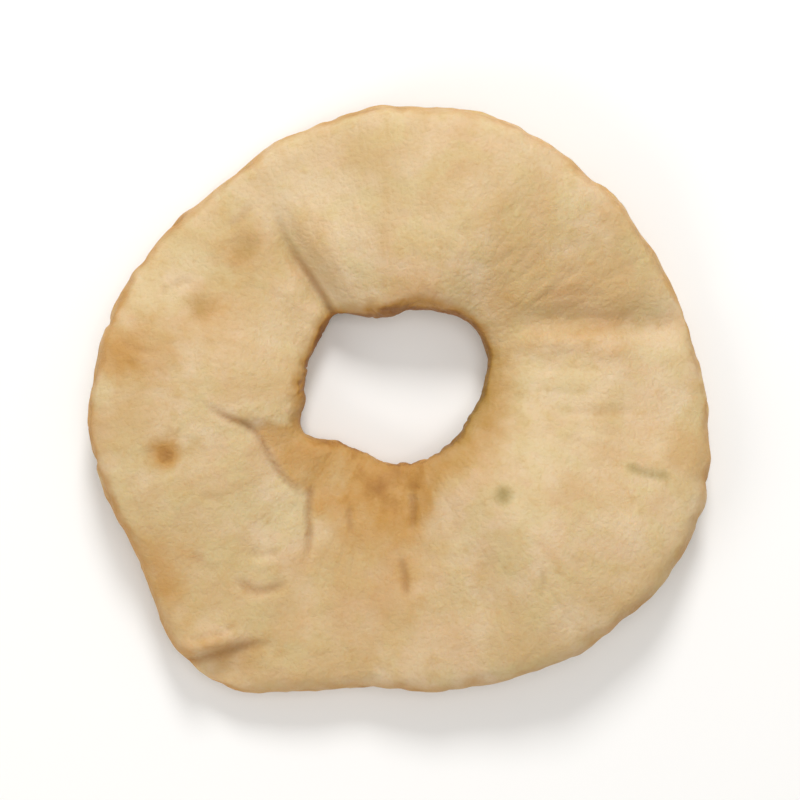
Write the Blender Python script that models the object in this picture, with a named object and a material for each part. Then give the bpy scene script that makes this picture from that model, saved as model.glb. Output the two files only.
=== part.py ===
"""A dried apple ring: one slice of a peeled and cored apple, dried soft and leathery.

It is one closed solid. A torus is reshaped point by point: its turn follows the slice's uneven rim
and cored hole, and its round section becomes a flat slice with rounded edges. Three lobes arch up
where the slice has buckled in drying, and creases, a seed pocket and pits are pressed into its faces.
Metres, +Z up, angles counter-clockwise from +X as seen from above.
"""

import math
from collections import namedtuple

import bpy
from mathutils import Vector, noise

MM = 0.001

# Driving sizes of the slice.
RIM_RADIUS = 26.0 * MM
HOLE_RADIUS = 7.0 * MM
HOLE_CENTRE = Vector((-0.2, 0.4)) * MM
THICKNESS = 5.0 * MM
PRESSED_FLAT = 0.35 * MM  # how far the soft underside gives where it rests

# How finely the ring is divided, round its turn and round its section.
TURN_STEPS = 144
SECTION_STEPS = 40

# The section is a slab with rounded ends: each end's share of the half width, and of the steps.
END_WIDTH = 0.19
END_STEPS = 0.40

# The torus that is reshaped. Its own sizes only serve to tell where a point lies on it.
TORUS_RADIUS = 20.0 * MM
TORUS_TUBE = 8.0 * MM

# A stretch of an outline that lies further out or in: its angle and spread in degrees, its depth.
Bulge = namedtuple("Bulge", "angle spread depth")
RIM_BULGES = (
    Bulge(-36, 32, 3.5 * MM),  # broad lobe at the lower right
    Bulge(-22, 10, 0.6 * MM),
    Bulge(-72, 12, -0.6 * MM),
    Bulge(236, 12, 5.1 * MM),  # blunt corner at the lower left
    Bulge(189, 22, 2.2 * MM),
    Bulge(150, 10, 0.7 * MM),
    Bulge(134, 26, -1.7 * MM),  # flatter side at the upper left
    Bulge(275, 24, 0.7 * MM),
)
HOLE_BULGES = (
    Bulge(28, 24, 1.8 * MM),
    Bulge(98, 16, -0.9 * MM),  # the upper lobe pushes in here
    Bulge(132, 9, 1.2 * MM),  # corner under the fold
    Bulge(160, 18, 0.6 * MM),
    Bulge(184, 16, 0.7 * MM),
    Bulge(207, 10, 1.8 * MM),  # corner at the seed pocket
    Bulge(248, 14, -0.3 * MM),
)

# Shallow pleats of the shrunken outer edge: their depth, and a number that rises with their count.
RIM_PLEAT = 0.25 * MM
PLEAT_COUNT = 10.0

# A lobe of the slice that has arched up off its seat.
LOBES = (
    Bulge(68, 24, 3.0 * MM),
    Bulge(-46, 25, 2.9 * MM),
    Bulge(189, 25, 1.9 * MM),
)
LOBE_CROWN = 0.35  # how much higher a lobe stands at mid-width, as a share
RIM_CURL = 0.45 * MM

# A line pressed into a face, or raised on it where its depth is negative: through its points it has
# the width and depth given, and fades out towards its last point, or its first as well.
Crease = namedtuple("Crease", "points width depth open_start")
TOP_CREASES = (
    # The fold at the upper left, which runs from the hole's corner towards the rim.
    Crease(((-5.3, 6.9), (-7.7, 10.6), (-9.5, 13.2), (-11.4, 17.8)), 0.9, 1.1, True),
    # The groove at the right, with a ridge and a fainter groove below it.
    Crease(((25.5, 5.9), (18.5, 6.1), (12.4, 6.0), (8.4, 5.0)), 1.0, 1.0, True),
    Crease(((8.6, 4.4), (12.0, 4.5), (19.0, 4.4), (23.0, 4.2)), 0.8, -0.40, False),
    Crease(((9.5, 2.9), (13.3, 2.9), (21.1, 2.7)), 0.8, 0.15, False),
    # The edge of the seed pocket, and the line that runs on down from it.
    Crease(((-8.0, -9.6), (-10.2, -7.7), (-11.4, -5.7), (-12.4, -4.0), (-17.6, -0.9)), 0.6, 0.45, False),
    Crease(((-7.9, -9.4), (-7.9, -11.7), (-7.9, -15.6)), 0.6, 0.4, True),
    # The pinched fold in the blunt corner, with its ridge above.
    Crease(((-20.0, -26.2), (-16.5, -25.4), (-11.5, -24.4)), 1.1, 0.9, True),
    Crease(((-20.9, -24.1), (-16.9, -22.9), (-12.6, -21.6)), 0.8, -0.7, True),
    # Soft troughs below the hole and beside the right lobe.
    Crease(((0.9, -7.0), (1.8, -12.8), (1.1, -19.5)), 1.3, 0.5, True),
    Crease(((8.6, -12.4), (8.0, -15.2), (8.9, -19.1), (11.4, -23.0)), 1.5, 0.45, False),
    # The puffed edge of the upper lobe, along the fold and over the hole.
    Crease(((-8.2, 18.4), (-6.2, 14.2), (-4.0, 10.8), (-1.0, 9.4), (2.5, 9.2), (7.5, 9.8)), 2.4, -0.6, False),
)
UNDER_CREASES = (
    Crease(((-5.0, 5.6), (-9.0, 12.0), (-11.8, 20.0)), 1.0, 0.8, True),
    Crease(((7.4, 3.0), (14.0, 7.4), (24.0, 8.4)), 1.0, 0.9, True),
    Crease(((2.0, -6.6), (3.2, -14.0), (1.0, -21.5)), 1.1, 0.8, True),
    Crease(((-8.0, -2.0), (-15.0, -4.6), (-20.0, -5.2)), 0.9, 0.6, True),
    Crease(((6.2, -5.6), (11.0, -8.0), (17.0, -9.4)), 0.8, 0.5, True),
)

# A seed pocket: a shallow hollow that narrows from the hole to a tip. Its points and half widths.
POCKET = ((-5.6, -7.8), (-7.8, -7.2), (-9.6, -5.8), (-11.0, -4.4), (-13.6, -2.9))
POCKET_HALF_WIDTHS = (2.4, 2.0, 1.7, 1.1, 0.3)
POCKET_DEPTH = 0.3 * MM

# A round pit, or a low dome where its depth is negative: centre and radius in mm, depth in metres.
Pit = namedtuple("Pit", "x y radius depth")
TOP_PITS = (
    Pit(-20.5, -5.9, 1.6, 0.2 * MM),
    Pit(9.4, -9.4, 0.9, 0.15 * MM),
    Pit(6.9, -9.4, 2.6, -0.3 * MM),
    Pit(15.0, -12.0, 7.0, -0.45 * MM),
    Pit(-3.0, 15.5, 6.0, -0.55 * MM),
    Pit(-15.5, 9.5, 4.5, 0.25 * MM),
)
UNDER_PITS = (
    Pit(15.0, -14.0, 1.3, 0.4 * MM),
    Pit(-12.0, -14.0, 5.0, 0.3 * MM),
    Pit(4.0, 17.0, 1.2, 0.35 * MM),
)

# Unevenness that no named feature gives: size of the swellings, and how far they reach.
SWELLING_SIZE = 9.0 * MM
SWELLING = 0.45 * MM
WRINKLE_SIZE = 3.2 * MM
WRINKLE = 0.14 * MM


def wrapped(degrees):
    """An angle as -180 to 180 degrees."""
    return (degrees + 180.0) % 360.0 - 180.0


def bulge_sum(degrees, bulges):
    """How far the bulges reach at an angle."""
    return sum(b.depth * math.exp(-0.5 * (wrapped(degrees - b.angle) / b.spread) ** 2) for b in bulges)


def smooth(low, high, value):
    """0 below low, 1 above high, and an even S between them."""
    t = min(1.0, max(0.0, (value - low) / (high - low)))
    return t * t * (3.0 - 2.0 * t)


def slab(section):
    """Where a point of the round section lies on the slab: outwards and upwards, each from -1 to 1."""
    outward, upward = math.cos(section), math.sin(section)
    share = math.atan2(abs(upward), abs(outward)) / (0.5 * math.pi)
    if share < END_STEPS:
        turn = 0.5 * math.pi * share / END_STEPS
        reach = 1.0 - END_WIDTH * (1.0 - math.cos(turn))
        return math.copysign(reach, outward), math.copysign(math.sin(turn), upward)
    reach = (1.0 - END_WIDTH) * (1.0 - share) / (1.0 - END_STEPS)
    return math.copysign(reach, outward), math.copysign(1.0, upward)


def along_line(x, y, points):
    """Distance from a point to a line of points, and how far along the line it lies, from 0 to 1."""
    here = Vector((x, y))
    lengths = [(Vector(b) - Vector(a)).length for a, b in zip(points, points[1:])]
    nearest, share, passed = 1e9, 0.0, 0.0
    for (a, b), length in zip(zip(points, points[1:]), lengths):
        start, step = Vector(a), Vector(b) - Vector(a)
        t = min(1.0, max(0.0, (here - start).dot(step) / length**2))
        distance = (here - start - step * t).length
        if distance < nearest:
            nearest, share = distance, (passed + t * length) / sum(lengths)
        passed += length
    return nearest, share


def crease_depth(x, y, crease):
    """How deep a crease lies under a point, in metres. x and y are in mm."""
    distance, share = along_line(x, y, crease.points)
    if distance > 3.5 * crease.width:
        return 0.0
    fade = 1.0 - smooth(0.55, 1.0, share)
    if not crease.open_start:
        fade *= smooth(0.0, 0.3, share)
    return crease.depth * MM * fade * math.exp(-0.5 * (distance / crease.width) ** 2)


def pocket_depth(x, y):
    """How deep the seed pocket lies under a point."""
    distance, share = along_line(x, y, POCKET)
    place = share * (len(POCKET_HALF_WIDTHS) - 1)
    i = min(int(place), len(POCKET_HALF_WIDTHS) - 2)
    near, far = POCKET_HALF_WIDTHS[i : i + 2]
    half_width = near + (far - near) * (place - i)
    return POCKET_DEPTH * (1.0 - smooth(0.30 * half_width, 1.50 * half_width, distance))


def pit_depth(x, y, pit):
    """How deep a pit lies under a point."""
    distance = math.hypot(x - pit.x, y - pit.y)
    return pit.depth * math.exp(-0.5 * (distance / (0.6 * pit.radius)) ** 2)


def uneven(x, y, side):
    """Swellings and wrinkles of the flesh, which differ between the two faces."""
    broad = noise.noise(Vector((x, y, side * SWELLING_SIZE)) / SWELLING_SIZE)
    turn, reach = math.atan2(y, x), math.hypot(x, y)
    # Wrinkles run outwards from the hole, so they are noise that is fine round the turn only.
    spot = Vector((math.cos(turn) * 0.02, math.sin(turn) * 0.02, reach * 0.35 + side * 0.05))
    return SWELLING * broad + WRINKLE * noise.noise(spot / WRINKLE_SIZE)


def mid_height(degrees, across):
    """Height of the slice's middle above its seat, for its buckled form."""
    lobes = bulge_sum(degrees, LOBES)
    crown = 1.0 - LOBE_CROWN + LOBE_CROWN * math.sin(math.pi * across)
    # The rim curls up on the lobes and down between them, with a finer ripple.
    curl = -0.7 * math.cos(math.radians(3.0 * degrees - 40.0))
    ripple = 0.5 * math.sin(math.radians(5.0 * degrees - 80.0))
    return lobes * crown + RIM_CURL * (curl + ripple) * smooth(0.55, 1.0, across)


def slice_thickness(degrees, across):
    """Thickness at a place: thinner at the hole, where the core dries hardest, and in the folds."""
    lobes = bulge_sum(degrees, LOBES) / (2.5 * MM)
    edge = 0.78 + 0.22 * smooth(0.0, 0.35, across) - 0.10 * smooth(0.75, 1.0, across)
    return THICKNESS * edge * (0.93 + 0.12 * lobes)


def rim_pleat(turn, lift):
    """How far a pleat of the outer edge stands out. The pleats lean a little from face to face."""
    spot = Vector((math.cos(turn), math.sin(turn), 0.06 * lift))
    return RIM_PLEAT * noise.noise(spot * PLEAT_COUNT)


def shaped(point):
    """Where a point of the torus lies on the apple ring."""
    degrees = math.degrees(math.atan2(point.y, point.x))
    section = math.atan2(point.z, math.hypot(point.x, point.y) - TORUS_RADIUS)
    reach, lift = slab(section)
    across = 0.5 + 0.5 * reach
    inner = HOLE_RADIUS + bulge_sum(degrees, HOLE_BULGES)
    outer = RIM_RADIUS + bulge_sum(degrees, RIM_BULGES)
    turn = math.radians(degrees)
    outer += rim_pleat(turn, lift) * smooth(0.6, 1.0, across)
    heading = Vector((math.cos(turn), math.sin(turn)))
    flat = heading * outer * across + (HOLE_CENTRE + heading * inner) * (1.0 - across)
    x, y = flat.x / MM, flat.y / MM
    facing = smooth(0.2, 0.95, abs(lift))
    if lift > 0.0:
        pressed = sum(crease_depth(x, y, c) for c in TOP_CREASES)
        pressed += pocket_depth(x, y) + sum(pit_depth(x, y, p) for p in TOP_PITS)
    else:
        pressed = sum(crease_depth(x, y, c) for c in UNDER_CREASES)
        pressed += sum(pit_depth(x, y, p) for p in UNDER_PITS)
    side = math.copysign(1.0, lift)
    relief = side * facing * (uneven(flat.x, flat.y, side) - pressed)
    height = mid_height(degrees, across) + 0.5 * slice_thickness(degrees, across) * lift + relief
    return Vector((flat.x, flat.y, height))


def seat(mesh):
    """Rests the ring at z = 0 on the spots that press flat, with the origin under its middle."""
    points = [v.co for v in mesh.vertices]
    lowest = min(p.z for p in points)
    middle = [0.5 * (min(p[i] for p in points) + max(p[i] for p in points)) for i in (0, 1)]
    for vertex in mesh.vertices:
        height = vertex.co.z - lowest - PRESSED_FLAT
        vertex.co = Vector((vertex.co.x - middle[0], vertex.co.y - middle[1], max(0.0, height)))


def flesh_material():
    """Pale cream apple flesh, matt and slightly waxy."""
    material = bpy.data.materials.new("dried_apple_flesh")
    material.use_nodes = True
    surface = material.node_tree.nodes["Principled BSDF"]
    surface.inputs["Base Color"].default_value = (0.68, 0.48, 0.25, 1.0)
    surface.inputs["Roughness"].default_value = 0.55
    surface.inputs["Metallic"].default_value = 0.0
    return material


def apple_ring(collection):
    """The slice: a torus whose points are moved to the ring's form."""
    bpy.ops.mesh.primitive_torus_add(
        major_segments=TURN_STEPS,
        minor_segments=SECTION_STEPS,
        major_radius=TORUS_RADIUS,
        minor_radius=TORUS_TUBE,
    )
    ring = bpy.context.active_object
    ring.name = "apple_ring"
    ring.data.name = "apple_ring"
    for vertex in ring.data.vertices:
        vertex.co = shaped(vertex.co)
    seat(ring.data)
    ring.data.shade_smooth()
    ring.data.materials.append(flesh_material())
    for owner in ring.users_collection:
        owner.objects.unlink(ring)
    collection.objects.link(ring)
    return ring


def main():
    for leftover in list(bpy.data.objects):
        bpy.data.objects.remove(leftover)
    collection = bpy.data.collections.new("dried_apple_ring")
    bpy.context.scene.collection.children.link(collection)
    apple_ring(collection)


main()
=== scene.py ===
"""Dried apple ring: the looks of one soft dried slice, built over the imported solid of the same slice.

The slice is a copy of its solid, made finer and then shaped as a sculptor would: folds, grooves, the seed
pocket, pits and wrinkles are pressed in by place. The same places drive its colours, which are kept as
attributes on the mesh. Lengths are in metres. Places on the slice are in mm from the middle of its hole.
"""

import math
from collections import namedtuple

import bpy
import numpy as np
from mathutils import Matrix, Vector, noise


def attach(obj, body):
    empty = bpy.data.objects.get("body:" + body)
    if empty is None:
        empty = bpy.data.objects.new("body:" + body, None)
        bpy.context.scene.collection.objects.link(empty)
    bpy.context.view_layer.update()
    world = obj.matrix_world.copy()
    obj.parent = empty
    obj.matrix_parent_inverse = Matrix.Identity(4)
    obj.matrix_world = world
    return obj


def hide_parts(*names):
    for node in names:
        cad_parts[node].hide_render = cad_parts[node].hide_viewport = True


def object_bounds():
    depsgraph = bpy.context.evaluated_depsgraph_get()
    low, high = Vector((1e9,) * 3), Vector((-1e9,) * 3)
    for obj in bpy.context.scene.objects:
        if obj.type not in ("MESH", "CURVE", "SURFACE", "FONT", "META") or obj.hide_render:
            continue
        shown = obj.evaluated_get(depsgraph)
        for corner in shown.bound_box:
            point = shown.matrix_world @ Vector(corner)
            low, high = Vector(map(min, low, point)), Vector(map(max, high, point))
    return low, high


bl_info = {
    "name": "Dried Apple Ring",
    "version": (1, 0, 0),
    "blender": (4, 5, 0),
    "location": "View3D > Sidebar > Apple Ring",
    "description": "Builds a soft dried apple ring and the plain floor that it lies on",
    "category": "Add Mesh",
}

MM = 0.001
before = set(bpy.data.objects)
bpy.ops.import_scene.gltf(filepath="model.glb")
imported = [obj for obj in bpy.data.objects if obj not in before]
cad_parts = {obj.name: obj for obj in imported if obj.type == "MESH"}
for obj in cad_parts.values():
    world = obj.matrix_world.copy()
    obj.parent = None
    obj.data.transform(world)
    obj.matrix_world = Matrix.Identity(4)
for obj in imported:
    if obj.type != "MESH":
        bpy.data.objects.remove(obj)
CAD_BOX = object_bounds()

# The middle of the hole, from which every place on the slice is measured.
HOLE_PLACE = np.array((-0.31, 1.00)) * MM


def linear(hex_colour):
    """An sRGB hex colour as the linear values that Blender's nodes take."""
    parts = [int(hex_colour[i : i + 2], 16) / 255.0 for i in (1, 3, 5)]
    return (*[p / 12.92 if p <= 0.04045 else ((p + 0.055) / 1.055) ** 2.4 for p in parts], 1.0)


# Lines on the slice

# A line that is pressed in or raised: its points, half width and height in mm, and the share of its
# length over which each end fades.
Stroke = namedtuple("Stroke", "points width height fade_in fade_out")
# A fold: one side of its line stands higher than the other, with a sharp dip at its foot. The higher
# side lies to the left of the line's own direction, or to the right where side is -1.
Fold = namedtuple("Fold", "points side lift falloff dip dip_width fade_in fade_out")
# A round dimple: its place, radius and height in mm.
Dimple = namedtuple("Dimple", "x y radius height")

UPPER_FOLD = ((-4.6, 5.9), (-5.6, 7.0), (-7.2, 9.5), (-9.2, 12.4), (-10.3, 15.0), (-11.3, 18.0))
POCKET_EDGE = (
    (-17.8, -0.3), (-16.4, -1.5), (-14.9, -2.4), (-13.2, -3.1),
    (-12.1, -4.2), (-11.3, -5.7), (-10.1, -7.6), (-8.0, -9.5),
)
CORNER_FOLD = ((-22.0, -25.2), (-18.8, -24.4), (-15.8, -23.5), (-12.6, -22.6), (-9.6, -22.2))

FOLDS = (
    Fold(UPPER_FOLD, -1, 0.26, 9.0, 0.28, 0.34, 0.0, 0.60),
    Fold(POCKET_EDGE, 1, 0.15, 2.2, 0.12, 0.28, 0.30, 0.15),
    Fold(CORNER_FOLD, 1, 0.26, 0.9, 0.24, 0.40, 0.1, 0.4),
)
STROKES = (
    # The groove at the right with its ridge, and the fainter lines under it.
    Stroke(((26.2, 5.9), (22.0, 5.8), (17.0, 5.9), (12.4, 5.6), (9.2, 5.2)), 0.70, -0.20, 0.2, 0.5),
    Stroke(((9.2, 4.0), (12.0, 4.2), (17.0, 4.3), (23.5, 4.1)), 0.50, 0.04, 0.3, 0.4),
    Stroke(((10.6, 2.2), (14.0, 2.0), (20.5, 1.6)), 0.35, -0.06, 0.3, 0.3),
    Stroke(((12.0, 0.2), (15.0, -0.3), (19.0, -0.2)), 0.30, -0.06, 0.3, 0.3),
    Stroke(((13.0, -1.6), (17.0, -2.0), (22.6, -1.8)), 0.35, -0.11, 0.3, 0.3),
    # The soft hollow along the foot of the upper fold.
    Stroke(((-6.6, 6.6), (-8.2, 9.3), (-10.2, 12.2), (-11.6, 15.6)), 1.1, -0.20, 0.2, 0.5),
    # A crease above the groove at the right.
    Stroke(((10.6, 7.6), (15.0, 8.6), (19.5, 8.4)), 0.4, -0.12, 0.3, 0.3),
    # Lines that run down from the hole's lower edge.
    Stroke(((-7.7, -9.3), (-7.9, -11.2), (-7.8, -13.2), (-8.2, -16.4)), 0.26, -0.30, 0.0, 0.5),
    Stroke(((-4.1, -10.3), (-4.2, -11.6), (-3.9, -13.4)), 0.24, -0.20, 0.2, 0.4),
    Stroke(((1.3, -9.0), (1.5, -11.0), (1.3, -13.4)), 0.26, -0.28, 0.2, 0.4),
    Stroke(((0.2, -14.6), (0.7, -16.4), (0.9, -18.9)), 0.26, -0.26, 0.3, 0.3),
    # Little cross wrinkles on the lower left.
    Stroke(((-13.6, -14.0), (-12.2, -14.7), (-10.0, -14.5)), 0.26, -0.16, 0.3, 0.3),
    Stroke(((-14.2, -15.2), (-12.4, -15.6), (-10.6, -15.3)), 0.30, 0.12, 0.3, 0.3),
    Stroke(((-14.6, -16.6), (-13.0, -17.9), (-11.2, -17.9), (-9.4, -17.2)), 0.30, -0.26, 0.25, 0.3),
    Stroke(((-12.8, -18.6), (-11.0, -18.9), (-9.0, -18.3)), 0.30, 0.10, 0.3, 0.3),
    Stroke(((-17.8, -8.9), (-16.4, -9.7), (-14.7, -9.8)), 0.30, -0.12, 0.3, 0.3),
    Stroke(((-18.5, -14.2), (-17.2, -15.6), (-15.3, -16.3)), 0.34, -0.12, 0.3, 0.3),
    # Creases on the left and upper left.
    Stroke(((-24.8, 4.4), (-22.4, 3.4), (-20.4, 3.6)), 0.30, -0.12, 0.2, 0.4),
    Stroke(((-21.6, 8.2), (-19.4, 9.6), (-17.6, 9.4)), 0.34, -0.12, 0.3, 0.3),
    Stroke(((-15.8, 14.4), (-14.2, 15.2), (-12.6, 17.0)), 0.34, -0.14, 0.3, 0.3),
    # The bright lip beside the corner fold, with a thin line above it.
    Stroke(((-19.2, -23.5), (-16.2, -22.6), (-13.2, -21.6)), 0.36, 0.20, 0.2, 0.3),
    Stroke(((-19.0, -22.5), (-16.2, -21.8), (-13.4, -20.9)), 0.24, -0.14, 0.2, 0.3),
    # The grey scar on the lower right.
    Stroke(((12.6, -15.3), (12.9, -16.8), (12.6, -18.8)), 0.24, -0.12, 0.3, 0.3),
)
DIMPLES = (
    Dimple(-20.5, -5.9, 1.9, -0.12),
    Dimple(-23.5, 2.2, 0.5, -0.12),
    Dimple(9.4, -9.4, 0.6, -0.10),
    Dimple(-13.5, 12.5, 1.6, -0.14),
    Dimple(-17.2, 6.8, 1.4, -0.08),
    Dimple(22.4, -7.5, 0.8, -0.08),
)

# Soft tan blots on the cut face: place and radius in mm, and strength. Some are painted shade where the face
# dips, such as the broad one at the bottom.
TAN_AND_SHADE_BLOTS = (
    (-13.5, 12.5, 1.9, 0.50), (-17.2, 6.8, 1.8, 0.50), (-23.6, 3.4, 2.2, 0.65), (-22.0, -16.0, 2.4, 0.40),
    (-0.5, -18.0, 6.0, 0.50), (-17.0, -22.0, 3.6, 0.34), (0.8, 8.4, 3.0, 0.40), (12.0, 12.0, 6.0, 0.24),
    (17.0, 6.4, 4.0, 0.28), (-20.0, 0.0, 4.2, 0.24), (26.0, -6.0, 2.6, 0.35), (19.0, -20.0, 3.0, 0.20),
)

# Orange blots, where the flesh is browned a little.
ORANGE_BLOTS = (
    (-24.8, 3.0, 1.5, 0.42), (-17.2, 6.7, 0.9, 0.40), (-20.7, -17.9, 1.2, 0.50), (-21.8, -15.0, 1.6, 0.30),
    (-14.0, 11.6, 0.9, 0.30), (-15.6, -23.9, 1.2, 0.55), (-13.4, -23.6, 1.2, 0.45), (8.4, 7.6, 1.8, 0.26),
    (0.8, -17.2, 0.9, 0.30), (7.6, -4.2, 1.2, 0.34), (8.3, 3.0, 1.0, 0.36),
)

# The seed pocket's floor, as a line with half widths.
POCKET_FLOOR = ((-13.6, -3.1), (-11.2, -4.4), (-9.8, -5.9), (-8.0, -7.4), (-5.8, -8.2))
POCKET_WIDTHS = (0.2, 1.0, 1.4, 1.8, 2.0)
# How far the browned core reaches from the hole's middle, in mm, by degrees of turn.
CORE_REACH = {
    20: 11.0, 60: 9.6, 100: 8.8, 130: 9.0, 160: 9.0, 184: 10.0, 190: 12.6, 195: 13.3, 205: 12.8, 222: 12.8,
    230: 12.6, 236: 14.6, 252: 15.2, 264: 15.6, 277: 15.4, 284: 13.2, 292: 11.4, 305: 11.0, 320: 11.0,
    345: 11.2,
}
# How brown it is there, from 0 to 1, and over how many mm it fades out.
CORE_BROWNING = {
    0: 0.56, 45: 0.40, 90: 0.38, 130: 0.40, 165: 0.36, 190: 0.62, 232: 0.70, 250: 0.86, 274: 0.88,
    292: 0.70, 320: 0.60,
}
CORE_FADE = {
    0: 4.0, 60: 2.6, 100: 2.4, 165: 1.6, 190: 0.9, 230: 1.0, 240: 4.5, 256: 6.0, 274: 6.0, 284: 4.0,
}
# How dark the hole's edge is: its own browning, with painted shade where it is darkest, along the top and
# right.
LIP_BROWNING_AND_SHADE = {
    10: 1.20, 60: 1.25, 95: 1.30, 125: 1.30, 170: 1.10, 215: 0.80, 250: 0.90, 290: 0.90, 340: 1.10,
}
# The brown spot and the small dark one at the left: place, radius, strength and how hard their edges are.
BROWN_SPOTS = ((-20.6, -5.8, 1.25, 0.92, 3.0), (-23.5, 2.2, 0.45, 0.70, 2.0))
# The green vein marks, a dot and a dash, and the olive blobs at the upper left.
GREEN_DOT = (9.4, -9.4)
GREEN_DASH = ((20.9, -7.0), (22.6, -7.6), (23.8, -7.7))
OLIVE_BLOBS = ((-13.6, 12.8), (-17.6, 7.4))

# How high or deep each kind of small relief is, in mm.
WAVES = 0.16
UNEVENNESS = 0.24
CREPE = 0.080
PLEATS = 0.15
SEAMS = 0.34
CRUMPLE = 0.15
GRAIN = 0.02
POCKET_DEPTH = 0.04
# How wide the lines of each kind of wrinkle are, in units of their noise's height.
CREPE_WIDTH, PLEAT_WIDTH, SEAM_WIDTH = 0.20, 0.26, 0.14
# How much painted shade each kind of wrinkle gets at its foot, from 0 to 1.
CREPE_SHADE, PLEAT_SHADE, SEAM_SHADE = 0.12, 0.50, 0.55
# How much of the mottling is added to each mark. Its middle value is taken off again.
BREAK_UP = 0.4

# The lights round the slice: name, place and size in metres, and share of the main light's power.
# The main light stands beyond the top of the picture.
LIGHTS = (
    ("key_light", (0.02, 0.30, 0.25), 0.12, 1.0),
    ("top_light", (0.06, 0.02, 0.45), 0.30, 0.56),
    ("side_light", (-0.26, -0.20, 0.22), 0.20, 0.38),
)
# The share of the picture's width that the slice fills.
FILLED = 0.80
# The floor's width, and how far it lies below the slice, in metres.
FLOOR_WIDTH = 3.0
FLOOR_DROP = 0.05 * MM


def curved(points, steps=6):
    """A smooth line through the points, as closer points."""
    known = np.array(points, dtype=float)
    padded = np.vstack((2.0 * known[0] - known[1], known, 2.0 * known[-1] - known[-2]))
    line = [known[0]]
    for before, start, end, after in zip(padded, padded[1:], padded[2:], padded[3:]):
        for t in np.arange(1, steps + 1) / steps:
            pull = 2 * before - 5 * start + 4 * end - after
            bend = pull * t + (3 * start - before - 3 * end + after) * t**2
            line.append(start + 0.5 * t * (end - before + bend))
    return np.array(line)


def line_field(x, y, points):
    """Distance from each place to a line, the share along it from 0 to 1, and the side it lies on."""
    best = np.full(x.shape, 1e9)
    share = np.zeros(x.shape)
    side = np.ones(x.shape)
    corners = curved(points)
    steps = np.diff(corners, axis=0)
    lengths = np.hypot(steps[:, 0], steps[:, 1])
    passed = 0.0
    for (cx, cy), (sx, sy), length in zip(corners, steps, lengths):
        t = np.clip(((x - cx) * sx + (y - cy) * sy) / length**2, 0.0, 1.0)
        dx, dy = x - cx - t * sx, y - cy - t * sy
        distance = np.hypot(dx, dy)
        nearer = distance < best
        best = np.where(nearer, distance, best)
        share = np.where(nearer, (passed + t * length) / lengths.sum(), share)
        side = np.where(nearer, np.sign(sx * dy - sy * dx), side)
        passed += length
    return best, share, side


def smooth(low, high, value):
    """0 below low, 1 above high, and an even S between them."""
    t = np.clip((value - low) / (high - low), 0.0, 1.0)
    return t * t * (3.0 - 2.0 * t)


def ends_fade(share, fade_in, fade_out):
    """Fades a line in from its first point and out towards its last."""
    fade = 1.0 - smooth(1.0 - fade_out, 1.0, share)
    if fade_in > 0.0:
        fade = fade * smooth(0.0, fade_in, share)
    return fade


def stroke_height(x, y, stroke):
    """The height in mm that a stroke adds at each place."""
    distance, share, _ = line_field(x, y, stroke.points)
    fade = ends_fade(share, stroke.fade_in, stroke.fade_out)
    return stroke.height * fade * np.exp(-0.5 * (distance / stroke.width) ** 2)


def fold_height(x, y, fold):
    """The height in mm that a fold adds at each place: a lifted side and a dip at its foot."""
    distance, share, side = line_field(x, y, fold.points)
    across = distance * side * fold.side
    fade = ends_fade(share, fold.fade_in, fold.fade_out)
    lifted = 1.0 / (1.0 + np.exp(-np.clip(across / (0.35 * fold.dip_width), -40, 40)))
    lifted = lifted * np.exp(-np.maximum(across, 0.0) / fold.falloff)
    dip = np.exp(-0.5 * ((across + 0.8 * fold.dip_width) / fold.dip_width) ** 2)
    return fade * (fold.lift * lifted - fold.dip * dip)


def clear_of_folds(x, y):
    """0 at the named folds, 1 from 2 mm off them, so that wrinkles don't cut across them."""
    nearest = np.minimum.reduce([line_field(x, y, fold.points)[0] for fold in FOLDS])
    return smooth(0.4, 2.0, nearest)


def band(x, y, points, widths, soft):
    """1 inside a band of varying half width round a line, 0 outside it, with an edge as soft as given."""
    distance, share, _ = line_field(x, y, points)
    half_width = np.interp(share, np.linspace(0.0, 1.0, len(widths)), widths)
    return 1.0 - smooth((1.0 - soft) * half_width, (1.0 + soft) * half_width, distance)


def by_turn(degrees, table):
    """Reads a table of values by degrees of turn, evenly between its entries."""
    turns = sorted(table)
    return np.interp(degrees % 360.0, turns, [table[t] for t in turns], period=360.0)


def spot_mask(x, y, px, py, radius, power=2.0):
    """1 at a spot's middle, falling to 0 round it."""
    return np.exp(-0.5 * (np.hypot(x - px, y - py) / radius) ** power)


def noise_field(places, octaves=1, gain=0.5):
    """Smooth noise of about -1 to 1 at each place, given in units of its own size."""
    total = np.zeros(len(places))
    strength, scale = 1.0, 1.0
    for octave in range(octaves):
        shift = Vector((17.0 * octave, -9.0 * octave, 5.0 * octave))
        total += strength * np.array([noise.noise(Vector(p) * scale + shift) for p in places])
        strength, scale = strength * gain, scale * 2.0
    return total


# The slice's shape

def flesh_height(x, y):
    """The height in mm of every named fold, line and dimple on the upper face."""
    height = np.zeros(x.shape)
    for fold in FOLDS:
        height += fold_height(x, y, fold)
    for stroke in STROKES:
        height += stroke_height(x, y, stroke)
    for dimple in DIMPLES:
        height += dimple.height * spot_mask(x, y, dimple.x, dimple.y, 0.62 * dimple.radius, 3.0)
    height -= POCKET_DEPTH * band(x, y, POCKET_FLOOR, POCKET_WIDTHS, 0.9)
    return height


def read_points(mesh, name="co"):
    """The mesh's point places or normals as rows of x, y and z."""
    values = np.empty(3 * len(mesh.vertices))
    mesh.vertices.foreach_get(name, values)
    return values.reshape(-1, 3)


def polar(points):
    """Each point's x and y from the hole's middle in mm, its turn in radians and its reach in mm."""
    x, y = (points[:, :2] - HOLE_PLACE).T / MM
    return x, y, np.arctan2(y, x), np.hypot(x, y)


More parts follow.
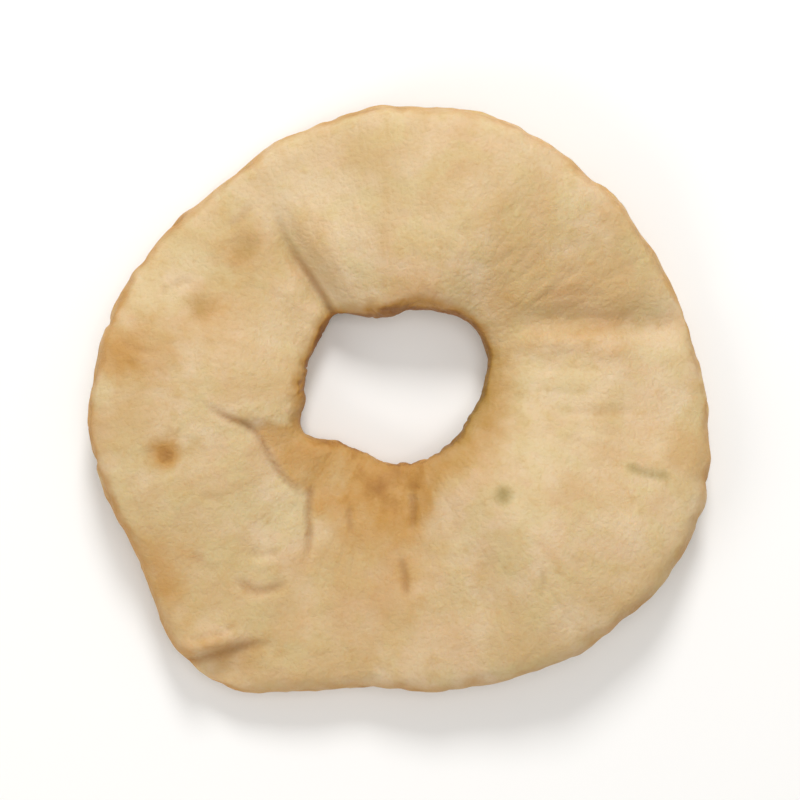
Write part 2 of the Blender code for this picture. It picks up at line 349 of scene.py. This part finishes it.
def edge_reach(turn, reach, outer):
    """How far the rim, or else the hole's edge, lies from the hole's middle at each point's turn, in mm."""
    sectors = 120
    sector = ((turn + math.pi) / (2.0 * math.pi) * sectors).astype(int) % sectors
    found = np.full(sectors, 0.0 if outer else 1e9)
    (np.maximum if outer else np.minimum).at(found, sector, reach)
    middles = (np.arange(sectors) + 0.5) / sectors * 2.0 * math.pi - math.pi
    return np.interp(turn, middles, found, period=2.0 * math.pi)


def round_turn(turn, cells, third):
    """Places for noise that repeats with the turn, finer where cells is larger, and varies with third."""
    return np.column_stack((cells * np.cos(turn), cells * np.sin(turn), third))


def furrows(field, width):
    """Narrow wandering lines: 1 where a noise field passes through zero, and 0 away from there."""
    return np.exp(-((field / width) ** 2))


def wrinkle_lines(points, turn, reach, outward):
    """Crepe wrinkles on the faces, pleats down the rim and seams along it, each from 0 to about 1."""
    mm = points / MM
    across_rim = round_turn(turn, 9.0, 0.10 * reach + 0.12 * mm[:, 2])
    along_rim = round_turn(turn, 4.0, mm[:, 2] / 1.9 + 0.5 * np.sin(9.0 * turn))
    outwards = round_turn(turn, 11.0, 0.14 * reach + 0.2 * mm[:, 2])
    lengthwise = round_turn(turn, 3.2, 0.60 * reach + 0.4 * mm[:, 2])
    # The crepe comes in patches: lines outwards in some, lines round the slice in the others.
    patch = noise_field(mm / 6.5 + 40.0)
    off_core = smooth(12.0, 16.0, reach)
    crepe = smooth(-0.10, 0.40, patch) * (0.4 + 0.6 * off_core)
    crepe *= furrows(noise_field(outwards, 2), CREPE_WIDTH)
    crepe += 0.8 * smooth(-0.10, 0.40, -patch) * furrows(noise_field(lengthwise, 2), CREPE_WIDTH)
    sides = smooth(0.35, 0.9, np.abs(outward))
    pleats = sides * furrows(noise_field(across_rim), PLEAT_WIDTH) * (0.6 + 0.8 * noise_field(mm / 4.0))
    pleats *= np.where(outward > 0.0, 0.8, 0.3)
    seams = furrows(noise_field(along_rim, 2, 0.35), SEAM_WIDTH) * (0.9 + 0.9 * noise_field(mm / 5.0 - 20.0))
    seams *= smooth(0.80, 0.99, outward) + 0.3 * smooth(0.6, 0.95, -outward)
    return crepe * (1.0 - sides), np.maximum(pleats, 0.0), np.maximum(seams, 0.0)


def shape_flesh(mesh, wrinkle_depth):
    """Presses the folds, wrinkles and grain into the fine mesh, and keeps its resting spots flat."""
    points, normals = read_points(mesh), read_points(mesh, "normal")
    x, y, turn, reach = polar(points)
    up = smooth(0.25, 0.75, normals[:, 2])
    down = smooth(0.25, 0.75, -normals[:, 2])
    outward = normals[:, 0] * np.cos(turn) + normals[:, 1] * np.sin(turn)
    rim, core = smooth(0.25, 0.9, outward), smooth(0.25, 0.9, -outward)
    mm = points / MM
    # Waves across the rim and out of the hole: noise that is fine round the turn only.
    round_rim = round_turn(turn, 9.0, 0.12 * reach + 0.10 * mm[:, 2])
    round_core = round_turn(turn, 4.2, 0.10 * reach + 0.15 * mm[:, 2])
    near_core = np.exp(-(((reach - 8.0) / 3.5) ** 2))
    near_rim = smooth(20.0, 27.0, reach)
    height = up * flesh_height(x, y)
    height += wrinkle_depth * WAVES * (0.25 * near_rim + 0.75 * rim) * noise_field(round_rim, 2)
    height += wrinkle_depth * WAVES * (0.4 * near_core + 0.8 * core) * noise_field(round_core, 2)
    # Broad unevenness, the crepe, pleats and seams, and then the fine crumple of a skinned-over cut face.
    height += wrinkle_depth * UNEVENNESS * noise_field(mm / 5.5)
    crepe, pleats, seams = wrinkle_lines(points, turn, reach, outward)
    height -= wrinkle_depth * (CREPE * crepe * clear_of_folds(x, y) + PLEATS * pleats + SEAMS * seams)
    crumple = 1.0 - np.abs(noise_field(mm / np.array((2.6, 2.6, 4.0)), 2))
    height += wrinkle_depth * CRUMPLE * (crumple - 0.8) * (0.55 + 0.45 * np.maximum(rim, down))
    height += wrinkle_depth * GRAIN * noise_field(mm / 0.9)
    moved = points + normals * (height * MM)[:, None]
    moved[:, 2] = np.maximum(moved[:, 2], 0.0)
    mesh.vertices.foreach_set("co", moved.ravel())
    mesh.update()


# The slice's colours, kept on its points

def keep(mesh, name, values):
    """Stores one number per point under a name that the material reads."""
    attribute = mesh.attributes.new(name, "FLOAT", "POINT")
    attribute.data.foreach_set("value", np.clip(values, 0.0, 1.0).astype(np.float32))


def colour_flesh(mesh):
    """Marks where the flesh is browned, tanned or green, and where shade is painted into its colour."""
    points, normals = read_points(mesh), read_points(mesh, "normal")
    x, y, turn, reach = polar(points)
    outward = normals[:, 0] * np.cos(turn) + normals[:, 1] * np.sin(turn)
    up = smooth(0.0, 0.6, normals[:, 2])
    degrees = np.degrees(turn)
    mm = points / MM
    patches = noise_field(mm / 2.4, 2)
    along = round_turn(turn, 14.0, 0.16 * reach + 0.3 * mm[:, 2])
    fibres = noise_field(along, 2)
    # Browned: the core with its seed pocket, the hole's edge and wall, and single spots. The hole's dark edge
    # and wall are partly painted shade.
    beyond = reach - edge_reach(turn, reach, outer=False)
    wander = 0.8 * noise_field(round_turn(turn, 7.0, 0.1 * reach), 2)
    limit = by_turn(degrees, CORE_REACH) + wander * smooth(228.0, 262.0, degrees % 360.0)
    core = 1.0 - smooth(0.0, 1.0, (reach - limit) / by_turn(degrees, CORE_FADE) + 0.8)
    core *= 1.0 - smooth(-3.6, -2.5, y + 0.5 * patches) * smooth(-4.0, -6.0, x)
    core *= 0.84 + 0.30 * np.exp(-beyond / 2.5) + 0.12 * fibres + 0.28 * patches
    browned = np.minimum(by_turn(degrees, CORE_BROWNING) * core, 0.80 + 0.10 * patches)
    lip = np.exp(-((beyond / (0.70 + 0.2 * patches)) ** 2)) * (0.95 + 0.2 * patches)
    browned = np.maximum(browned, by_turn(degrees, LIP_BROWNING_AND_SHADE) * lip)
    uneven = 1.0 + 0.25 * noise_field(mm / 1.1)
    for px, py, radius, strength, power in BROWN_SPOTS:
        browned = np.maximum(browned, strength * up * spot_mask(x, y, px, py, radius * uneven, power))
    for px, py, radius, strength in ORANGE_BLOTS:
        browned = np.maximum(browned, strength * up * spot_mask(x, y, px, py, radius * uneven))
    # The hole's wall: its own browning, darkened further as painted shade of the deep hole.
    wall = smooth(0.30, 0.95, -outward) * (1.0 - smooth(9.0, 14.0, reach))
    browned = np.maximum(browned, wall * (0.90 + 0.3 * patches))
    # Tan: the rim, most on the left and browned in patches, and soft blots on the cut face. The tan and
    # browning on the rim are partly painted shade where it rounds down, and some blots are painted shade in
    # dips.
    leftness = smooth(-0.2, 0.9, -np.cos(turn - math.radians(18.0)))
    rim = smooth(0.50, 1.0, outward) * smooth(16.0, 22.0, reach)
    edge = smooth(-5.0, -0.8, reach - edge_reach(turn, reach, outer=True))
    browned = np.maximum(browned, rim * (0.14 + 0.50 * patches))
    tan_and_shade = rim * (0.55 + 0.2 * leftness + 0.3 * patches) + 0.35 * leftness * edge * (0.5 + patches)
    for px, py, radius, strength in TAN_AND_SHADE_BLOTS:
        tan_and_shade += strength * up * spot_mask(x, y, px, py, radius * uneven)
    # Green: the vein marks and the olive blobs, and olive painted shade on the hole's right edge, where the
    # rim rounds down into the hole.
    green = 0.80 * up * spot_mask(x, y, *GREEN_DOT, 0.62)
    distance, _, _ = line_field(x, y, GREEN_DASH)
    green = np.maximum(green, 0.62 * up * np.exp(-((distance / 0.50) ** 2)))
    right_edge_shade = np.exp(-(((degrees + 10.0) / 48.0) ** 2)) * np.exp(-beyond / 2.2)
    green = np.maximum(green, 0.66 * right_edge_shade)
    for px, py in OLIVE_BLOBS:
        green = np.maximum(green, 0.34 * up * spot_mask(x, y, px, py, 1.1 * uneven))
    keep(mesh, "browned", browned)
    keep(mesh, "tan_and_shade", tan_and_shade)
    keep(mesh, "green", green)
    # Painted shade at the foot of each fold and in each pressed-in line and wrinkle furrow. The lines down
    # from the hole and the grey scar are darker in their own colour too.
    furrow_shade_and_dark_lines = np.zeros(len(points))
    for fold in FOLDS:
        distance, share, side = line_field(x, y, fold.points)
        foot = distance * side * fold.side + 0.5 * fold.dip_width
        fade = ends_fade(share, fold.fade_in, fold.fade_out)
        furrow_shade_and_dark_lines = np.maximum(furrow_shade_and_dark_lines, fade * np.exp(-0.5 * (foot / (0.9 * fold.dip_width)) ** 2))
    for stroke in STROKES:
        furrow_shade_and_dark_lines = np.maximum(furrow_shade_and_dark_lines, -3.0 * stroke_height(x, y, stroke) / max(1.0, stroke.width / 0.5))
    crepe, pleats, seams = wrinkle_lines(points, turn, reach, outward)
    shaded = CREPE_SHADE * crepe + PLEAT_SHADE * pleats + SEAM_SHADE * seams
    keep(mesh, "furrow_shade_and_dark_lines", np.maximum(up * furrow_shade_and_dark_lines, shaded))
    radial = mesh.attributes.new("radial", "FLOAT_VECTOR", "POINT")
    radial.data.foreach_set("vector", along.astype(np.float32).ravel())


# Materials

def node(tree, kind, settings, inputs):
    """Adds a node with its settings. An input takes a value, or a link from another node's output."""
    made = tree.nodes.new(kind)
    for name, value in settings.items():
        setattr(made, name, value)
    for key, value in inputs.items():
        if isinstance(value, bpy.types.NodeSocket):
            tree.links.new(value, made.inputs[key])
        else:
            made.inputs[key].default_value = value
    return made


def new_material(name):
    """An empty material with a Principled surface, its node tree and that surface."""
    material = bpy.data.materials.new(name)
    material.use_nodes = True
    return material, material.node_tree, material.node_tree.nodes["Principled BSDF"]


def flesh_material(look):
    """Soft dried apple: cut flesh that air has dried to a matt, slightly waxy and leathery face.

    It is pale cream where it dried fast, tan at its edges, and orange brown at the core, where it has
    oxidised. Shade is painted into its colour at the foot of its creases, on its rim and in dips, and on
    the hole's edge and wall. Light enters it for about a millimetre, which softens its creases.
    """
    material, tree, surface = new_material("dried_apple_flesh")
    place = node(tree, "ShaderNodeTexCoord", {}, {})
    mm = node(tree, "ShaderNodeMapping", {}, {"Vector": place.outputs["Object"], "Scale": (1000.0,) * 3})
    streaks_at = node(tree, "ShaderNodeAttribute", {"attribute_name": "radial"}, {})
    marks = {
        name: node(tree, "ShaderNodeAttribute", {"attribute_name": name}, {}).outputs["Fac"]
        for name in ("browned", "tan_and_shade", "green", "furrow_shade_and_dark_lines")
    }
    # Clouds about 7 mm across, mottling of 1.6 mm, streaks outwards from the core, cells of 0.35 mm, and
    # ridges of 1.2 mm like crumpled skin.
    clouds = node(tree, "ShaderNodeTexNoise", {}, {"Vector": mm.outputs[0], "Scale": 0.14, "Detail": 3.0})
    mottle = node(
        tree,
        "ShaderNodeTexNoise",
        {},
        {"Vector": mm.outputs[0], "Scale": 0.62, "Detail": 5.0, "Roughness": 0.62},
    )
    streaks = node(
        tree, "ShaderNodeTexNoise", {}, {"Vector": streaks_at.outputs["Vector"], "Scale": 0.9, "Detail": 4.0}
    )
    cells = node(tree, "ShaderNodeTexNoise", {}, {"Vector": mm.outputs[0], "Scale": 2.9, "Detail": 3.0})
    crumple = node(
        tree,
        "ShaderNodeTexNoise",
        {"noise_type": "RIDGED_MULTIFRACTAL"},
        {"Vector": mm.outputs[0], "Scale": 0.80, "Detail": 3.0, "Roughness": 0.45, "Lacunarity": 2.2},
    )
    # Cream to tan over the face.
    paleness = node(
        tree,
        "ShaderNodeMapRange",
        {"interpolation_type": "SMOOTHSTEP"},
        {"Value": clouds.outputs["Fac"], "From Min": 0.36, "From Max": 0.64},
    )
    colour = node(
        tree,
        "ShaderNodeMix",
        {"data_type": "RGBA"},
        {0: paleness.outputs[0], 6: look.flesh, 7: look.pale},
    ).outputs[2]
    blush_at = node(tree, "ShaderNodeMapping", {}, {"Vector": mm.outputs[0], "Location": (31.0, 7.0, 0.0)})
    blushes = node(
        tree, "ShaderNodeTexNoise", {}, {"Vector": blush_at.outputs[0], "Scale": 0.22, "Detail": 3.0}
    )
    sallows = node(tree, "ShaderNodeTexNoise", {}, {"Vector": mm.outputs[0], "Scale": 0.31, "Detail": 2.0})
    # Warm clouds, yellow-green clouds, flecks, streaks and cells, each laid thinly over the last.
    for source, start, full, strength, paint in (
        (blushes, 0.46, 0.66, 0.28, look.blush),
        (sallows, 0.47, 0.62, 0.50, look.sallow),
        (mottle, 0.50, 0.76, 0.20, look.tan),
        (streaks, 0.50, 0.74, 0.16, look.tan),
        (cells, 0.48, 0.72, 0.18, look.tan),
    ):
        amount = node(
            tree,
            "ShaderNodeMapRange",
            {"interpolation_type": "SMOOTHSTEP"},
            {"Value": source.outputs["Fac"], "From Min": start, "From Max": full, "To Max": strength},
        )
        colour = node(
            tree, "ShaderNodeMix", {"data_type": "RGBA"}, {0: amount.outputs[0], 6: colour, 7: paint}
        ).outputs[2]
    # Each mark is broken up by the mottling, so that no edge is clean.
    for name, start, full, strength, paint in (
        # Tan, partly painted shade on the rim and in dips.
        ("tan_and_shade", 0.10, 0.95, 0.85, look.tan),
        ("browned", 0.04, 0.84, 0.95, look.browned),
        # Deep brown where the browning is strongest: the hole's edge and wall, where it is partly painted
        # shade, and the brown spot.
        ("browned", 0.76, 1.05, 0.80, look.deep_brown_and_shade),
        # Green vein marks and blobs, and olive painted shade on the hole's right edge.
        ("green", 0.10, 0.95, 0.80, look.green),
        # Painted shade at fold feet and in furrows, with the dark lines and the scar.
        ("furrow_shade_and_dark_lines", 0.10, 1.10, 0.68, look.furrow_shade_colour),
    ):
        broken = node(
            tree,
            "ShaderNodeMath",
            {"operation": "MULTIPLY_ADD"},
            {0: mottle.outputs["Fac"], 1: BREAK_UP, 2: marks[name]},
        )
        amount = node(
            tree,
            "ShaderNodeMapRange",
            {},
            {
                "Value": broken.outputs[0],
                "From Min": start + 0.5 * BREAK_UP,
                "From Max": full + 0.5 * BREAK_UP,
                "To Max": strength,
            },
        )
        colour = node(
            tree, "ShaderNodeMix", {"data_type": "RGBA"}, {0: amount.outputs[0], 6: colour, 7: paint}
        ).outputs[2]
    # Height in mm: crinkles of 1.2 mm, mottling, streaks, cells, and the walls between clumps of cells.
    clumps = node(
        tree,
        "ShaderNodeTexVoronoi",
        {"feature": "DISTANCE_TO_EDGE"},
        {"Vector": mm.outputs[0], "Scale": 1.5, "Detail": 1.0, "Randomness": 1.0},
    )
    walls = node(
        tree,
        "ShaderNodeMapRange",
        {"interpolation_type": "SMOOTHSTEP"},
        {"Value": clumps.outputs["Distance"], "From Min": 0.0, "From Max": 0.22},
    )
    height = node(tree, "ShaderNodeMath", {"operation": "MULTIPLY"}, {0: crumple.outputs["Fac"], 1: 0.034})
    for source, depth in (
        (streaks.outputs["Fac"], 0.10),
        (mottle.outputs["Fac"], 0.16),
        (cells.outputs["Fac"], 0.046),
        (walls.outputs[0], 0.024),
    ):
        height = node(
            tree, "ShaderNodeMath", {"operation": "MULTIPLY_ADD"}, {0: source, 1: depth, 2: height.outputs[0]}
        )
    bump = node(tree, "ShaderNodeBump", {}, {"Height": height.outputs[0], "Strength": 1.0, "Distance": MM})
    gloss = node(
        tree,
        "ShaderNodeMapRange",
        {},
        {"Value": mottle.outputs["Fac"], "From Min": 0.3, "From Max": 0.7, "To Min": 0.48, "To Max": 0.64},
    )
    tree.links.new(colour, surface.inputs["Base Color"])
    tree.links.new(gloss.outputs[0], surface.inputs["Roughness"])
    tree.links.new(bump.outputs[0], surface.inputs["Normal"])
    surface.inputs["IOR"].default_value = 1.42
    surface.inputs["Specular IOR Level"].default_value = 0.42
    surface.inputs["Subsurface Weight"].default_value = 0.35
    surface.inputs["Subsurface Radius"].default_value = (1.0, 0.55, 0.25)
    surface.inputs["Subsurface Scale"].default_value = 1.6 * MM
    return material


def floor_material(colour):
    """A matt, pale painted board."""
    material, _, surface = new_material("matt_pale_board")
    surface.inputs["Base Color"].default_value = colour
    surface.inputs["Roughness"].default_value = 0.9
    surface.inputs["Specular IOR Level"].default_value = 0.1
    return material


# Pieces

class AppleFleshLook(bpy.types.PropertyGroup):
    """What a user would change about the slice."""

    wrinkle_depth: bpy.props.FloatProperty(
        name="Wrinkle depth", description="How deep the fine wrinkles are", default=1.0, min=0.0, max=2.0
    )
    fineness: bpy.props.IntProperty(
        name="Fineness", description="How often each face is divided", default=2, min=1, max=2
    )
    pale: bpy.props.FloatVectorProperty(
        name="Pale flesh",
        description="The driest, palest flesh",
        subtype="COLOR",
        size=4,
        default=linear("#d5bd97"),
    )
    flesh: bpy.props.FloatVectorProperty(
        name="Flesh", description="Most of the cut face", subtype="COLOR", size=4, default=linear("#c9ac7c")
    )
    blush: bpy.props.FloatVectorProperty(
        name="Blush", description="Faint warm clouds", subtype="COLOR", size=4, default=linear("#cda57a")
    )
    sallow: bpy.props.FloatVectorProperty(
        name="Sallow",
        description="Faint yellow-green clouds",
        subtype="COLOR",
        size=4,
        default=linear("#cdb987"),
    )
    # Tan for flecks, and for the rim and blots, where it is partly painted shade.
    tan: bpy.props.FloatVectorProperty(
        name="Tan", description="The rim and soft blots", subtype="COLOR", size=4, default=linear("#bf8f4e")
    )
    browned: bpy.props.FloatVectorProperty(
        name="Browned",
        description="Oxidised flesh at the core",
        subtype="COLOR",
        size=4,
        default=linear("#bb8a41"),
    )
    # Deep brown for the hole's wall and edge, where it is partly painted shade.
    deep_brown_and_shade: bpy.props.FloatVectorProperty(
        name="Deep brown", description="The hole's wall", subtype="COLOR", size=4, default=linear("#7d4519")
    )
    # Green for the vein marks, and for the olive painted shade on the hole's right edge.
    green: bpy.props.FloatVectorProperty(
        name="Green",
        description="Vein marks in the flesh",
        subtype="COLOR",
        size=4,
        default=linear("#85701f"),
    )
    # The colour of the painted shade at fold feet and in furrows, and of the dark lines and the scar.
    furrow_shade_colour: bpy.props.FloatVectorProperty(
        name="Crease", description="The foot of folds", subtype="COLOR", size=4, default=linear("#a0703a")
    )


class AppleStageLook(bpy.types.PropertyGroup):
    """What a user would change about the floor, lights and camera."""

    floor: bpy.props.FloatVectorProperty(
        name="Floor", description="The floor's colour", subtype="COLOR", size=4, default=linear("#f6f5f3")
    )
    key_power: bpy.props.FloatProperty(
        name="Key light", description="Power of the soft main light", default=0.92, min=0.0, unit="POWER"
    )
    fill: bpy.props.FloatProperty(
        name="Fill", description="Strength of the even light from all round", default=0.44, min=0.0
    )
    lens: bpy.props.FloatProperty(
        name="Lens",
        description="The camera's focal length in millimetres",
        default=100.0,
        min=20.0,
        unit="CAMERA",
    )


def only(thing):
    """Makes one object the only selected and active one."""
    bpy.ops.object.select_all(action="DESELECT")
    thing.select_set(True)
    bpy.context.view_layer.objects.active = thing


class APPLE_OT_slice(bpy.types.Operator):
    """Makes the dried slice from its solid: finer, creased, wrinkled and coloured."""

    bl_idname = "apple_ring.slice"
    bl_label = "Dried apple slice"

    def execute(self, context):
        look = context.scene.apple_flesh
        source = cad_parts["apple_ring"]
        piece = bpy.data.objects.new("dried_apple_slice", source.data.copy())
        context.scene.collection.objects.link(piece)
        piece.data.materials.clear()
        only(piece)
        bpy.ops.mesh.customdata_custom_splitnormals_clear()
        bpy.ops.object.mode_set(mode="EDIT")
        bpy.ops.mesh.select_all(action="SELECT")
        bpy.ops.mesh.remove_doubles(threshold=0.002 * MM)
        bpy.ops.mesh.tris_convert_to_quads(face_threshold=math.radians(60), shape_threshold=math.radians(60))
        bpy.ops.object.mode_set(mode="OBJECT")
        finer = piece.modifiers.new("finer", "SUBSURF")
        finer.levels = finer.render_levels = look.fineness
        bpy.ops.object.modifier_apply(modifier=finer.name)
        shape_flesh(piece.data, look.wrinkle_depth)
        colour_flesh(piece.data)
        bpy.ops.object.shade_smooth()
        piece.data.materials.append(flesh_material(look))
        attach(piece, "root")
        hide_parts("apple_ring")
        return {"FINISHED"}


class APPLE_OT_stage(bpy.types.Operator):
    """Adds the pale floor, the soft lights and a camera that looks straight down on the slice."""

    bl_idname = "apple_ring.stage"
    bl_label = "Floor, lights and camera"

    def execute(self, context):
        look = context.scene.apple_stage
        low, high = CAD_BOX
        middle = (low + high) / 2
        bpy.ops.object.select_all(action="DESELECT")
        bpy.ops.mesh.primitive_plane_add(size=FLOOR_WIDTH, location=(0.0, 0.0, -FLOOR_DROP))
        floor = context.active_object
        floor.name = "pale_floor"
        bpy.ops.object.transform_apply(location=True, rotation=True, scale=True)
        floor.data.materials.append(floor_material(look.floor))
        for name, place, size, share in LIGHTS:
            bpy.ops.object.light_add(type="AREA", location=place)
            lamp = context.active_object
            lamp.name = name
            lamp.data.shape = "DISK"
            lamp.data.size = size
            lamp.data.energy = look.key_power * share
            lamp.rotation_euler = (middle - lamp.location).to_track_quat("-Z", "Y").to_euler()
        world = bpy.data.worlds.new("even_pale_light")
        world.use_nodes = True
        sky = world.node_tree.nodes["Background"]
        sky.inputs["Color"].default_value = linear("#fbf9f6")
        sky.inputs["Strength"].default_value = look.fill
        context.scene.world = world
        seen = (high.x - low.x) / FILLED
        bpy.ops.object.camera_add(rotation=(0.0, 0.0, 0.0))
        camera = context.active_object
        camera.name = "camera_above"
        camera.data.lens = look.lens
        camera.data.clip_start = 0.01
        distance = seen * camera.data.lens / camera.data.sensor_width
        camera.location = (middle.x, middle.y, high.z + distance)
        context.scene.camera = camera
        context.scene.view_settings.view_transform = "Standard"
        return {"FINISHED"}


class APPLE_PT_panel(bpy.types.Panel):
    """Lists the pieces and what can be changed about them."""

    bl_idname = "APPLE_PT_panel"
    bl_label = "Dried Apple Ring"
    bl_space_type = "VIEW_3D"
    bl_region_type = "UI"
    bl_category = "Apple Ring"

    def draw(self, context):
        for settings, operator in (
            (context.scene.apple_flesh, APPLE_OT_slice.bl_idname),
            (context.scene.apple_stage, APPLE_OT_stage.bl_idname),
        ):
            box = self.layout.box()
            for name in settings.bl_rna.properties.keys():
                if name not in {"rna_type", "name"}:
                    box.prop(settings, name)
            box.operator(operator)


CLASSES = (AppleFleshLook, AppleStageLook, APPLE_OT_slice, APPLE_OT_stage, APPLE_PT_panel)


def register():
    for each in CLASSES:
        bpy.utils.register_class(each)
    bpy.types.Scene.apple_flesh = bpy.props.PointerProperty(type=AppleFleshLook)
    bpy.types.Scene.apple_stage = bpy.props.PointerProperty(type=AppleStageLook)


def unregister():
    del bpy.types.Scene.apple_flesh
    del bpy.types.Scene.apple_stage
    for each in reversed(CLASSES):
        bpy.utils.unregister_class(each)


def main():
    register()
    bpy.ops.apple_ring.stage()
    bpy.ops.apple_ring.slice()


if __name__ == "__main__":
    main()
